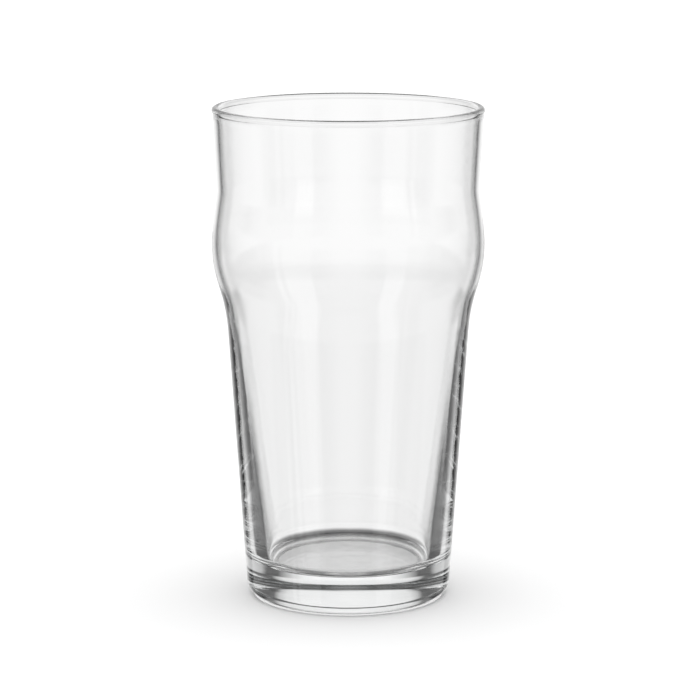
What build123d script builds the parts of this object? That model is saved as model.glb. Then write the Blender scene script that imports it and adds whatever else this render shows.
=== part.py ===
from build123d import *
import os

# Nonic pint glass: one piece of clear glass, turned about the Z axis, standing on Z = 0. Sizes in mm

# Driving sizes
height = 155.0
rim_radius = 42.4            # outside of the bead, at its widest
bead_radius = 1.15           # the rim is a round bead
rim_wall_outside = 42.1      # outside of the wall where it runs into the bead
rim_wall_inside = 40.3
neck_blend = 0.5             # rounding where the bead meets the wall

# Corners between the straight runs of the outside, each as (radius, height)
waist_outside = (40.8, 128.7)
bulge_outside = (43.55, 108.2)
shoulder_outside = (38.25, 92.0)
foot_radius = 31.9
waist_outside_round = 13.6
bulge_outside_round = 42.0
shoulder_outside_round = 57.0
foot_round = 4.5

# The same corners on the inside: the wall is thinnest at the bulge and thickens to the base
waist_inside = (39.2, 128.7)
bulge_inside = (42.1, 108.3)
shoulder_inside = (36.5, 92.5)
waist_inside_round = 15.0
bulge_inside_round = 41.0
shoulder_inside_round = 55.0
floor_height = 11.3          # from the table to the inside floor
floor_radius = 25.7
floor_round = 4.0

# Shallow recess under the base, which leaves a ring for the glass to stand on
recess_depth = 0.8
recess_radius = 25.0
ring_inner_radius = 26.4
recess_round = 2.0

bead_centre_radius = rim_radius - bead_radius
bead_centre_height = height - bead_radius


with BuildPart() as glass_body:
    with BuildSketch(Plane.XZ) as section:
        # Half of the glass in section, from the axis under the base, up the outside and down the inside
        with BuildLine():
            outline = FilletPolyline(
                (0, recess_depth),
                (recess_radius, recess_depth),
                (ring_inner_radius, 0),
                (foot_radius, 0),
                shoulder_outside,
                bulge_outside,
                waist_outside,
                (rim_wall_outside, bead_centre_height),
                (rim_wall_inside, bead_centre_height),
                waist_inside,
                bulge_inside,
                shoulder_inside,
                (floor_radius, floor_height),
                (0, floor_height),
                radius=[
                    recess_round,
                    recess_round,
                    foot_round,
                    shoulder_outside_round,
                    bulge_outside_round,
                    waist_outside_round,
                    0,
                    0,
                    waist_inside_round,
                    bulge_inside_round,
                    shoulder_inside_round,
                    floor_round,
                ],
            )
            Line(outline @ 1, outline @ 0)
        make_face()
        with Locations((bead_centre_radius, bead_centre_height)):
            Circle(bead_radius)
        # The two notches where the bead stands proud of the wall are softened
        bead_notches = section.vertices().sort_by(Axis.Y)[-2:]
        fillet(bead_notches, neck_blend)
    revolve(axis=Axis.Z)
glass_body.part.label = "glass_body"

os.makedirs("parts", exist_ok=True)
export_step(glass_body.part, "parts/glass_body.step")
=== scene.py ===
import math

import bmesh
import bpy
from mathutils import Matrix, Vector, noise


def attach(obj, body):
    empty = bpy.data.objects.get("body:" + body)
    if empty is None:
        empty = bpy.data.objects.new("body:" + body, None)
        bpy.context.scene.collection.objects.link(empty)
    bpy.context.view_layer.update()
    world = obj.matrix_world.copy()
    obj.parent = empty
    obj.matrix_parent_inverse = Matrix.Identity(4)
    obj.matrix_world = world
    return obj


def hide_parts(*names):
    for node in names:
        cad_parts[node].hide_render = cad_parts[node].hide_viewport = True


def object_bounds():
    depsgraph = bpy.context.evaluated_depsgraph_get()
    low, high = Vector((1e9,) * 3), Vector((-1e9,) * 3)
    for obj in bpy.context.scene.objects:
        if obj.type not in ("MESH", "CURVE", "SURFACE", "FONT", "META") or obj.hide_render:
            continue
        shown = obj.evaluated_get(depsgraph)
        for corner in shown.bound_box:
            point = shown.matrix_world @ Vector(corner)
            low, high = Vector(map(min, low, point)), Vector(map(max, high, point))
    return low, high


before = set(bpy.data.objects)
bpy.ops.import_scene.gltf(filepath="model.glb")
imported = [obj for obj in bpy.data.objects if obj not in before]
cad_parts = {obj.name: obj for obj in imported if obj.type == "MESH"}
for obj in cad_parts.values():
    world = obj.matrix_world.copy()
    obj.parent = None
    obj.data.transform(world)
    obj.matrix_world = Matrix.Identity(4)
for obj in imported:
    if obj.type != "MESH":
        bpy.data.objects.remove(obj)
cadLow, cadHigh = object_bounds()
print("frame loaded")

mm = 0.001
glassHeight = cadHigh.z / mm


class Link:
    # Wraps a socket, so that plain arithmetic on it adds Math nodes
    def __init__(self, tree, socket):
        self.tree = tree
        self.socket = socket

    def output(self, name):
        # Another output of the same node
        return Link(self.tree, self.socket.node.outputs[name])

    def maths(self, operation, first, second=0.0):
        return self.tree.add("ShaderNodeMath", {"operation": operation}, {0: first, 1: second})

    def __add__(self, other):
        return self.maths("ADD", self, other)

    def __radd__(self, other):
        return self.maths("ADD", other, self)

    def __sub__(self, other):
        return self.maths("SUBTRACT", self, other)

    def __rsub__(self, other):
        return self.maths("SUBTRACT", other, self)

    def __mul__(self, other):
        return self.maths("MULTIPLY", self, other)

    def __rmul__(self, other):
        return self.maths("MULTIPLY", other, self)

    def __truediv__(self, other):
        return self.maths("DIVIDE", self, other)

    def __rtruediv__(self, other):
        return self.maths("DIVIDE", other, self)


class NodeTree:
    # One method adds any node: its type, its settings, then the values or links of its sockets
    def __init__(self, owner):
        owner.use_nodes = True
        self.nodes = owner.node_tree.nodes
        self.links = owner.node_tree.links
        self.nodes.clear()

    def add(self, kind, settings=None, sockets=None, output=0):
        node = self.nodes.new(kind)
        for name, value in (settings or {}).items():
            if name == "stops":
                self.setStops(node.color_ramp, value)
            else:
                setattr(node, name, value)
        for name, value in (sockets or {}).items():
            if isinstance(value, Link):
                self.links.new(value.socket, node.inputs[name])
            else:
                node.inputs[name].default_value = value
        return Link(self, node.outputs[output]) if len(node.outputs) else None

    def setStops(self, ramp, stops):
        while len(ramp.elements) < len(stops):
            ramp.elements.new(1.0)
        for element, (position, grey) in zip(ramp.elements, stops):
            element.position = position
            element.color = (grey, grey, grey, 1.0)


glassBody = {
    # corners of the section: distance from the axis, height, radius of the rounding
    "outside": [  # upwards
        (31.9, 0.0, 4.5),
        (38.25, 92.0, 57.0),
        (43.55, 108.2, 42.0),
        (40.8, 128.7, 13.6),
    ],
    "inside": [  # downwards
        (39.2, 128.7, 15.0),
        (42.1, 108.3, 41.0),
        (36.5, 92.5, 55.0),
        (25.7, 11.3, 4.0),
    ],
    "recess": [  # the shallow hollow under the base, from its middle outwards
        (25.0, 0.8, 2.0),
        (26.4, 0.0, 2.0),
    ],
    "rimRadius": 42.4,
    "beadRadius": 1.15,
    "beadBlend": 0.5,  # radius of the small hollow round between the wall and the bead
    "rimWallOutside": 42.1,
    "rimWallInside": 40.3,
    "floorHeight": 11.3,
    "recessDepth": 0.8,
    "ripple": 0.035,  # height of the ripples that pressing leaves on the level faces
    "rippleSize": 4.5,
    "rippleMargin": 1.0,  # the ripples end this far inside the recess
    "rippleFade": 3.0,
    "wave": 0.03,  # depth of the waves in the walls
    "waveSize": 16.0,
    "waveFrom": 4.0,  # the waves begin this far above the table
    "waveTo": 2.5,  # and end this far below the rim
    "waveFade": 8.0,
    "around": 288,
    "longestStep": 2.4,  # on the walls
    "levelStep": 1.1,  # on the level faces
    "shortestStep": 0.004,
    "levelWithin": 0.001,
    "arcStep": 4.0,  # degrees, here and below
    "beadStep": 10.0,
    "blendStep": 15.0,
}


def arcPoints(centre, radius, start, turn, step):
    count = max(2, math.ceil(abs(math.degrees(turn)) / step))
    return [
        centre + radius * Vector((math.cos(start + turn * i / count), math.sin(start + turn * i / count)))
        for i in range(count + 1)
    ]


def roundedCorners(start, corners, end, step):
    # A run of straight lines whose corners are rounded off, each by its own radius
    places = [Vector(start)] + [Vector(corner[:2]) for corner in corners] + [Vector(end)]
    run = [places[0]]
    for before, here, after, (_, _, radius) in zip(places, places[1:], places[2:], corners):
        back, ahead = (before - here).normalized(), (after - here).normalized()
        half = back.angle(ahead) / 2
        middle = (back + ahead).normalized()
        centre = here + middle * radius / math.sin(half)
        touch = here + back * radius / math.tan(half) - centre
        leave = here + ahead * radius / math.tan(half) - centre
        first = math.atan2(touch.y, touch.x)
        turn = (math.atan2(leave.y, leave.x) - first + math.pi) % (2 * math.pi) - math.pi
        run += arcPoints(centre, radius, first, turn, step)
    return run + [places[-1]]


def beadBlendAt(wallFoot, wallTop, side, shape):
    # The small hollow round that leads a wall into the bead: side is 1 outside, -1 inside
    bead = Vector((shape["rimRadius"] - shape["beadRadius"], glassHeight - shape["beadRadius"]))
    along = (wallTop - wallFoot).normalized()
    out = Vector((along.y, -along.x)) * side
    blend = shape["beadBlend"]
    fromBead = wallFoot + out * blend - bead
    reach = shape["beadRadius"] + blend
    half = fromBead.dot(along)
    root = math.sqrt(half * half - fromBead.length_squared + reach * reach)
    centre = wallFoot + out * blend + along * (-half - root)
    wallTouch = centre - out * blend
    beadTouch = centre + (bead - centre) * blend / reach
    return centre, wallTouch, beadTouch, bead


def sweep(centre, first, last, radius, step, clockwise):
    # The arc from one point to another about a centre
    start = math.atan2(first.y - centre.y, first.x - centre.x)
    turn = (math.atan2(last.y - centre.y, last.x - centre.x) - start) % (2 * math.pi)
    return arcPoints(centre, radius, start, turn - 2 * math.pi if clockwise else turn, step)


def glassOutline(shape):
    # The section from the axis under the base, up the outside, over the bead and down to the inside floor
    step = shape["arcStep"]
    beadHeight = glassHeight - shape["beadRadius"]
    outsideTop = Vector((shape["rimWallOutside"], beadHeight))
    insideTop = Vector((shape["rimWallInside"], beadHeight))
    waistOut = Vector(shape["outside"][-1][:2])
    waistIn = Vector(shape["inside"][0][:2])
    outCentre, outTouch, outBead, bead = beadBlendAt(waistOut, outsideTop, 1, shape)
    inCentre, inTouch, inBead, bead = beadBlendAt(waistIn, insideTop, -1, shape)
    up = roundedCorners((0.0, shape["recessDepth"]), shape["recess"] + shape["outside"], outTouch, step)
    over = sweep(outCentre, outTouch, outBead, shape["beadBlend"], shape["blendStep"], True)
    over += sweep(bead, outBead, inBead, shape["beadRadius"], shape["beadStep"], False)
    over += sweep(inCentre, inBead, inTouch, shape["beadBlend"], shape["blendStep"], True)
    down = roundedCorners(inTouch, shape["inside"], (0.0, shape["floorHeight"]), step)
    whole = [up[0]]
    for point in up[1:] + over + down:
        last = whole[-1]
        gap = (point - last).length
        if gap < shape["shortestStep"]:
            continue
        level = abs(point.y - last.y) < shape["levelWithin"]
        pieces = math.ceil(gap / shape["levelStep" if level else "longestStep"])
        whole += [last.lerp(point, i / pieces) for i in range(1, pieces + 1)]
    return whole


def uneven(radius, height, turn, shape):
    # Pressed glass is never quite true: its level faces ripple a little, and its walls wave inwards,
    # so that the glass grows no larger
    place = Vector((radius * math.cos(turn), radius * math.sin(turn), height))
    margin = shape["rippleMargin"]
    flatReach = shape["recess"][0][0] - margin
    if radius < flatReach and height < shape["floorHeight"] + margin:
        fadeOut = min(1.0, (flatReach - radius) / shape["rippleFade"])
        place.z += shape["ripple"] * fadeOut * noise.noise(place / shape["rippleSize"])
        return place
    fromFoot = max(0.0, height - shape["waveFrom"])
    fromRim = glassHeight - shape["waveTo"] - height
    fadeIn = min(1.0, fromFoot / shape["waveFade"], fromRim / shape["waveFade"])
    depth = 0.5 + 0.5 * noise.noise(place / shape["waveSize"])
    inward = shape["wave"] * max(0.0, fadeIn) * depth
    place.x -= inward * math.cos(turn)
    place.y -= inward * math.sin(turn)
    return place


def makeGlass(shape):
    # Turns the section round the axis, with one point at each end to close it
    outline = glassOutline(shape)
    around = shape["around"]
    mesh = bmesh.new()
    rings = []
    for radius, height in outline[1:-1]:
        turns = [2 * math.pi * i / around for i in range(around)]
        rings.append([mesh.verts.new(uneven(radius, height, turn, shape) * mm) for turn in turns])
    under = mesh.verts.new((0, 0, outline[0].y * mm))
    floor = mesh.verts.new((0, 0, outline[-1].y * mm))
    for i in range(around):
        j = (i + 1) % around
        mesh.faces.new((under, rings[0][j], rings[0][i]))
        mesh.faces.new((floor, rings[-1][i], rings[-1][j]))
        for lower, upper in zip(rings, rings[1:]):
            mesh.faces.new((lower[i], lower[j], upper[j], upper[i]))
    bmesh.ops.recalc_face_normals(mesh, faces=mesh.faces)
    data = bpy.data.meshes.new("glassBody")
    mesh.to_mesh(data)
    mesh.free()
    for face in data.polygons:
        face.use_smooth = True
    glass = bpy.data.objects.new("glassBody", data)
    bpy.context.scene.collection.objects.link(glass)
    return glass


glassFinish = {
    "ior": 1.52,
    "tint": (1.0, 1.0, 1.0, 1.0),
    "absorbColour": (0.70, 0.78, 0.78, 1.0),  # what is lost on the way through thick glass
    "absorbDensity": 1.5,
    "pressSize": 9.0,  # mm from one soft dimple of the surface to the next
    "pressHeight": 0.020,
    "smudgeSize": 16.0,  # faint marks left by washing and by hands
    "smudgeFrom": 0.56,  # the noise level where a mark begins, and where it is strongest
    "smudgeTo": 0.80,
    "smudgeRoughness": 0.03,
    "scuffFrom": 0.25,  # the ring that the glass stands on is worn, less and less between these heights
    "scuffTo": 0.5,
    "scuffSize": 0.8,
    "scuffRoughness": 0.70,
    "fineDetail": 5.0,  # octaves of noise
    "softDetail": 2.0,
}


def clearGlass(finish):
    material = bpy.data.materials.new("clearGlass")
    tree = NodeTree(material)
    place = tree.add("ShaderNodeTexCoord", output="Object")
    height = tree.add("ShaderNodeSeparateXYZ", None, {0: place}, "Z")

    def grain(size, detail):
        return tree.add("ShaderNodeTexNoise", None, {
            "Vector": place, "Scale": 1.0 / (size * mm), "Detail": detail,
        })

    def ramp(value, start, end, low, high):
        return tree.add("ShaderNodeMapRange", None, {
            "Value": value, "From Min": start, "From Max": end, "To Min": low, "To Max": high,
        })

    marks = grain(finish["smudgeSize"], finish["fineDetail"])
    smudge = ramp(marks, finish["smudgeFrom"], finish["smudgeTo"], 0.0, finish["smudgeRoughness"])
    worn = ramp(height, finish["scuffFrom"] * mm, finish["scuffTo"] * mm, 1.0, 0.0)
    scuff = worn * grain(finish["scuffSize"], finish["softDetail"]) * finish["scuffRoughness"]
    pressed = tree.add("ShaderNodeBump", None, {
        "Strength": 1.0,
        "Distance": finish["pressHeight"] * mm,
        "Height": grain(finish["pressSize"], finish["softDetail"]),
    })
    surface = tree.add("ShaderNodeBsdfPrincipled", None, {
        "Base Color": finish["tint"],
        "Roughness": smudge + scuff,
        "IOR": finish["ior"],
        "Transmission Weight": 1.0,
        "Normal": pressed,
    })
    inside = tree.add("ShaderNodeVolumeAbsorption", None, {
        "Color": finish["absorbColour"],
        "Density": finish["absorbDensity"],
    })
    tree.add("ShaderNodeOutputMaterial", None, {"Surface": surface, "Volume": inside})
    return material


glass = makeGlass(glassBody)
glass.data.materials.append(clearGlass(glassFinish))
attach(glass, "root")
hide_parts("glass_body")
print("glass made", len(glass.data.vertices), "points")

floorPlace = {
    "reach": 6.0,  # metres
    "colour": (0.90, 0.90, 0.90, 1.0),
    "underGlass": 0.030,  # radius of the disc of floor that is seen through the base of the glass
    "underClearness": 0.5,
    "around": 96,
}


def makeFloor(values):
    # Two pieces: a half clear disc under the glass, and the rest of the floor, which is hidden from the
    # glass, so that its reflections and refractions see the room instead
    materials = {}
    for name, clearness in (("paleFloor", 0.0), ("paleFloorUnderGlass", values["underClearness"])):
        materials[name] = bpy.data.materials.new(name)
        tree = NodeTree(materials[name])
        matt = tree.add("ShaderNodeBsdfDiffuse", None, {"Color": values["colour"]})
        clear = tree.add("ShaderNodeBsdfTransparent")
        surface = tree.add("ShaderNodeMixShader", None, {0: clearness, 1: matt, 2: clear})
        tree.add("ShaderNodeOutputMaterial", None, {"Surface": surface})
    around, near, far = values["around"], values["underGlass"], values["reach"]
    turns = [2 * math.pi * i / around for i in range(around)]
    disc = [(near * math.cos(turn), near * math.sin(turn), 0) for turn in turns]
    edge = [(far * math.cos(turn), far * math.sin(turn), 0) for turn in turns]
    middle = bpy.data.meshes.new("floorUnderGlass")
    middle.from_pydata(disc, [], [tuple(range(around))])
    outer = bpy.data.meshes.new("floorAround")
    outer.from_pydata(disc + edge, [], [
        (i, around + i, around + (i + 1) % around, (i + 1) % around) for i in range(around)
    ])
    for data in (middle, outer):
        floor = bpy.data.objects.new(data.name, data)
        bpy.context.scene.collection.objects.link(floor)
        data.materials.append(materials["paleFloorUnderGlass" if data is middle else "paleFloor"])
        floor.visible_glossy = data is middle
        floor.visible_transmission = data is middle


room = {
    "white": 1.40,  # what lights the floor and stands behind the glass
    # The glass itself sees light and dark walls: degrees from straight behind it, brightness.
    # From the lowest ring of wall to the highest: table, low, high and upper.
    "lowRing": [
        (0, 0.89), (15, 0.88), (20, 0.78), (25, 0.52), (30, 0.25), (35, 0.08), (40, 0.05), (43, 0.75),
        (97, 0.85), (102, 0.48), (155, 0.48), (173, 0.85), (180, 0.85),
    ],
    "highRing": [
        (0, 0.985), (13, 0.975), (18, 0.88), (23, 0.66), (28, 0.36), (32, 0.06), (41, 0.05), (47, 0.45),
        (60, 0.62), (84, 0.85), (97, 0.85), (103, 0.65), (155, 0.65), (173, 0.90), (180, 0.90),
    ],
    "upperRing": [
        (0, 0.90), (20, 0.88), (28, 0.80), (33, 0.50), (37, 0.08), (42, 0.03), (82, 0.03),
        (90, 0.45), (98, 0.60), (108, 0.87), (180, 0.87),
    ],
    "tableRing": [(0, 0.92), (20, 0.92), (26, 0.06), (52, 0.06), (62, 0.92), (180, 0.92)],
    # the table seen steeply: sine of the angle downwards, brightness
    "tableGlow": [(0, 0.92), (0.74, 0.92), (0.81, 0.20), (0.95, 0.20), (0.99, 0.92)],
    # sines of the elevations between which a ring gives way to the next
    "toHigh": (-0.200, -0.155),
    "toUpper": (0.0, 0.06),
    "toTable": (-0.37, -0.42),
    "toSteep": (-0.56, -0.62),
    # sine of the angle upwards or downwards, share of the light that is left
    "upward": [(0, 1.0), (0.50, 1.0), (0.66, 0.06), (0.77, 0.05), (0.85, 0.25)],
    "downward": [(0, 1.0), (0.54, 1.0), (0.68, 0.15), (0.84, 0.15), (0.93, 0.9)],
    "downwardReach": (28, 36),  # degrees: the table is dimmed only right behind the glass
    "softboxes": [  # heading, half width, softness of the edge, strength
        (-135.5, 13.0, 1.5, 0.58),
        (-116.2, 2.2, 1.0, 0.58),
        (138.5, 9.0, 1.5, 0.58),
    ],
    "softboxHigh": (0.42, -0.36, -0.26),  # share that is left higher up, and between which sines
}


def makeRoom(room):
    world = bpy.data.worlds.new("studioRoom")
    bpy.context.scene.world = world
    tree = NodeTree(world)
    halfTurn = 180.0
    direction = tree.add("ShaderNodeTexCoord", output="Generated")
    x = tree.add("ShaderNodeSeparateXYZ", None, {0: direction})
    y, z = x.output("Y"), x.output("Z")
    down = 0.0 - z
    heading = x.maths("ARCTAN2", x, y) * (halfTurn / math.pi)
    turn = heading.maths("ABSOLUTE", heading) / halfTurn

    def fade(value, start, end, low, high):
        return tree.add("ShaderNodeMapRange", {"interpolation_type": "SMOOTHSTEP"}, {
            "Value": value, "From Min": start, "From Max": end, "To Min": low, "To Max": high,
        })

    def levels(value, stops):
        # The stops are grey, so the colour that comes out is a plain brightness
        return tree.add("ShaderNodeValToRGB", {"stops": stops}, {0: value})

    def ring(name):
        return levels(turn, [(degrees / halfTurn, level) for degrees, level in room[name]])

    def blend(first, second, edge):
        share = fade(z, edge[0], edge[1], 0.0, 1.0)
        return first + (second - first) * share

    def softbox(centre, half, soft, strength):
        wrap = {0: heading - centre, 1: halfTurn, 2: -halfTurn}
        off = tree.add("ShaderNodeMath", {"operation": "WRAP"}, wrap)
        return strength * fade(off.maths("ABSOLUTE", off), half + soft, half - soft, 0.0, 1.0)

    glow = blend(ring("lowRing"), ring("highRing"), room["toHigh"])
    glow = blend(glow, ring("tableRing"), room["toTable"])
    glow = blend(glow, levels(down, room["tableGlow"]), room["toSteep"])
    share, full, weak = room["softboxHigh"]
    reach = fade(z, full, weak, 1.0, share)
    for values in room["softboxes"]:
        glow = glow + reach * softbox(*values)
    glow = blend(glow, ring("upperRing"), room["toUpper"])
    inner, outer = room["downwardReach"]
    behind = fade(turn, inner / halfTurn, outer / halfTurn, 1.0, 0.0)
    dimmed = behind * (1.0 - levels(down, room["downward"]))
    glow = glow * levels(z, room["upward"]) * (1.0 - dimmed)
    # The camera and the floor see plain white
    seen = tree.add("ShaderNodeLightPath", output="Is Camera Ray")
    plain = seen.maths("MAXIMUM", seen, seen.output("Is Diffuse Ray"))
    level = glow * (1.0 - plain) + room["white"] * plain
    back = tree.add("ShaderNodeBackground", None, {"Color": (1, 1, 1, 1), "Strength": level})
    tree.add("ShaderNodeOutputWorld", None, {"Surface": back})


makeFloor(floorPlace)
makeRoom(room)
print("floor and room made")

cameraPlace = {
    "distance": 948.0,  # mm, as are the next two
    "height": 256.0,
    "aside": 0.55,
    "pitch": 10.63,  # degrees down
    "lens": 157.7,
    "sensor": 36.0,
    "clipEnd": 50.0,  # metres
}


def makeCamera(place):
    data = bpy.data.cameras.new("camera")
    data.lens = place["lens"]
    data.sensor_width = place["sensor"]
    data.clip_end = place["clipEnd"]
    camera = bpy.data.objects.new("camera", data)
    camera.location = (place["aside"] * mm, -place["distance"] * mm, place["height"] * mm)
    camera.rotation_euler = (math.radians(90 - place["pitch"]), 0, 0)
    bpy.context.scene.collection.objects.link(camera)
    bpy.context.scene.camera = camera


makeCamera(cameraPlace)
print("camera placed")

lightPaths = {  # light crosses many walls of glass before it gets out
    "max_bounces": 32,
    "transmission_bounces": 32,
    "glossy_bounces": 16,
    "diffuse_bounces": 4,
    "transparent_max_bounces": 16,
    "caustics_reflective": True,
    "caustics_refractive": True,
    "use_denoising": True,
}

scene = bpy.context.scene
scene.view_settings.view_transform = "Standard"
scene.view_settings.look = "None"
for name, value in lightPaths.items():
    setattr(scene.cycles, name, value)
print("light paths set")
